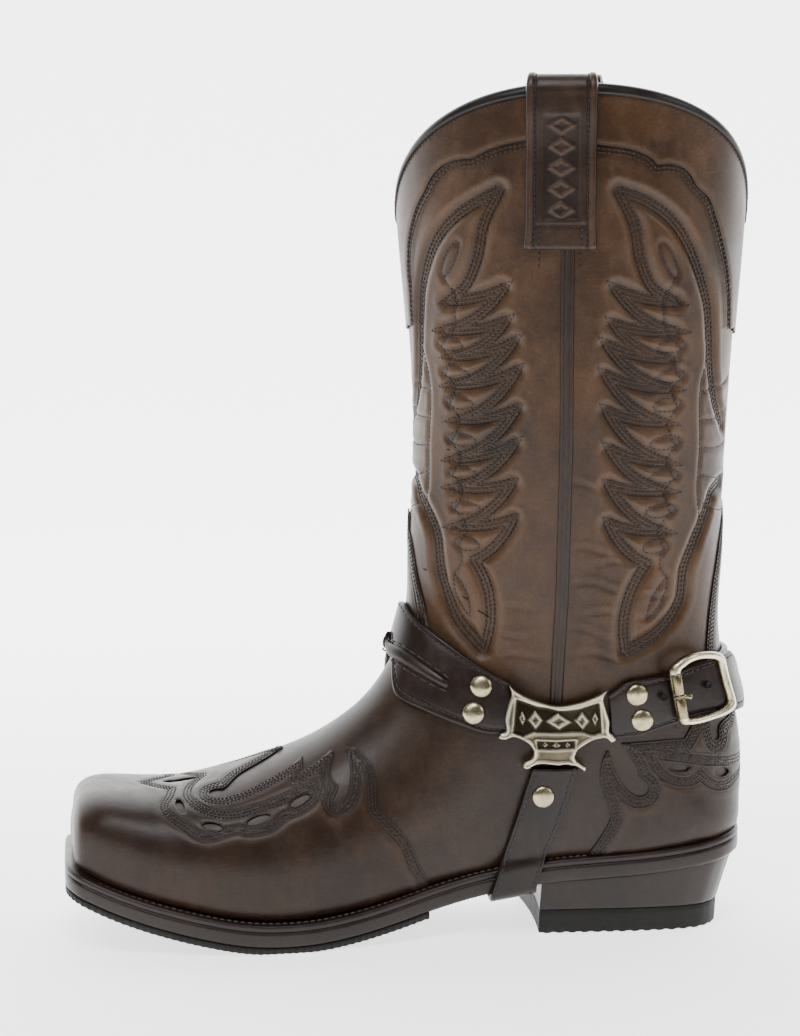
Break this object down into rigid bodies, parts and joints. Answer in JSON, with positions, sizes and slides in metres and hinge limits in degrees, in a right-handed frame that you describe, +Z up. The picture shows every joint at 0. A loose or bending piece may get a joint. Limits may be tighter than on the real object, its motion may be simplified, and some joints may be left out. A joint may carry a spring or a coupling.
{
  "type": "biker boot",
  "caption": "Left western harness boot: tall scalloped shaft, square toe, flame-cut overlays, riveted ankle harness with cast plates and a roller buckle, welted sole and stacked heel",
  "frame": {"origin": "the middle of the heel's resting face, on the floor", "axes": "+Z up along the shaft; -X towards the toe; -Y towards the outer (lateral) side of the left foot"},
  "size_m": [0.3132, 0.1252, 0.3834],
  "materials": {
    "shaft_leather": "burnished brown oiled leather, soft satin",
    "vamp_leather": "darker chocolate leather, soft satin",
    "strap_leather": "dark bridle leather, waxed satin",
    "binding_leather": "black binding, satin",
    "sole_leather": "dark brown inked and waxed edge",
    "insole_leather": "natural veg-tanned leather, matt",
    "rubber": "matt black rubber",
    "plate_metal": "cast metal, antiqued and rubbed bright at the edges",
    "rivet_metal": "pale brass, polished and slightly worn",
    "buckle_metal": "pale antique brass, polished high spots"
  },
  "bodies": {
    "root": {"upper": "shaft_leather", "collar": "shaft_leather", "topline_binding": "binding_leather", "toe_overlay": "vamp_leather", "tongue": "vamp_leather", "counter": "vamp_leather", "side_seam_lateral": "strap_leather", "side_seam_medial": "strap_leather", "pull_strap_lateral": "vamp_leather", "pull_strap_medial": "vamp_leather", "insole": "insole_leather", "welt": "sole_leather", "outsole": "sole_leather", "half_sole": "rubber", "heel_block": "sole_leather", "heel_lift": "rubber", "strap_front": "strap_leather", "strap_front_band": "strap_leather", "strap_back": "strap_leather", "strap_free_end": "strap_leather", "strap_under": "strap_leather", "plate_lateral": "plate_metal", "plate_medial": "plate_metal", "rivet_lateral_front_upper": "rivet_metal", "rivet_lateral_front_lower": "rivet_metal", "rivet_lateral_back_upper": "rivet_metal", "rivet_lateral_back_lower": "rivet_metal", "rivet_lateral_under": "rivet_metal", "rivet_medial_front_upper": "rivet_metal", "rivet_medial_front_lower": "rivet_metal", "rivet_medial_back_upper": "rivet_metal", "rivet_medial_back_lower": "rivet_metal", "rivet_medial_under": "rivet_metal", "buckle_frame": "buckle_metal", "buckle_roller_upper": "buckle_metal", "buckle_roller_lower": "buckle_metal", "buckle_prong": "buckle_metal"}
  },
  "joints": []
}
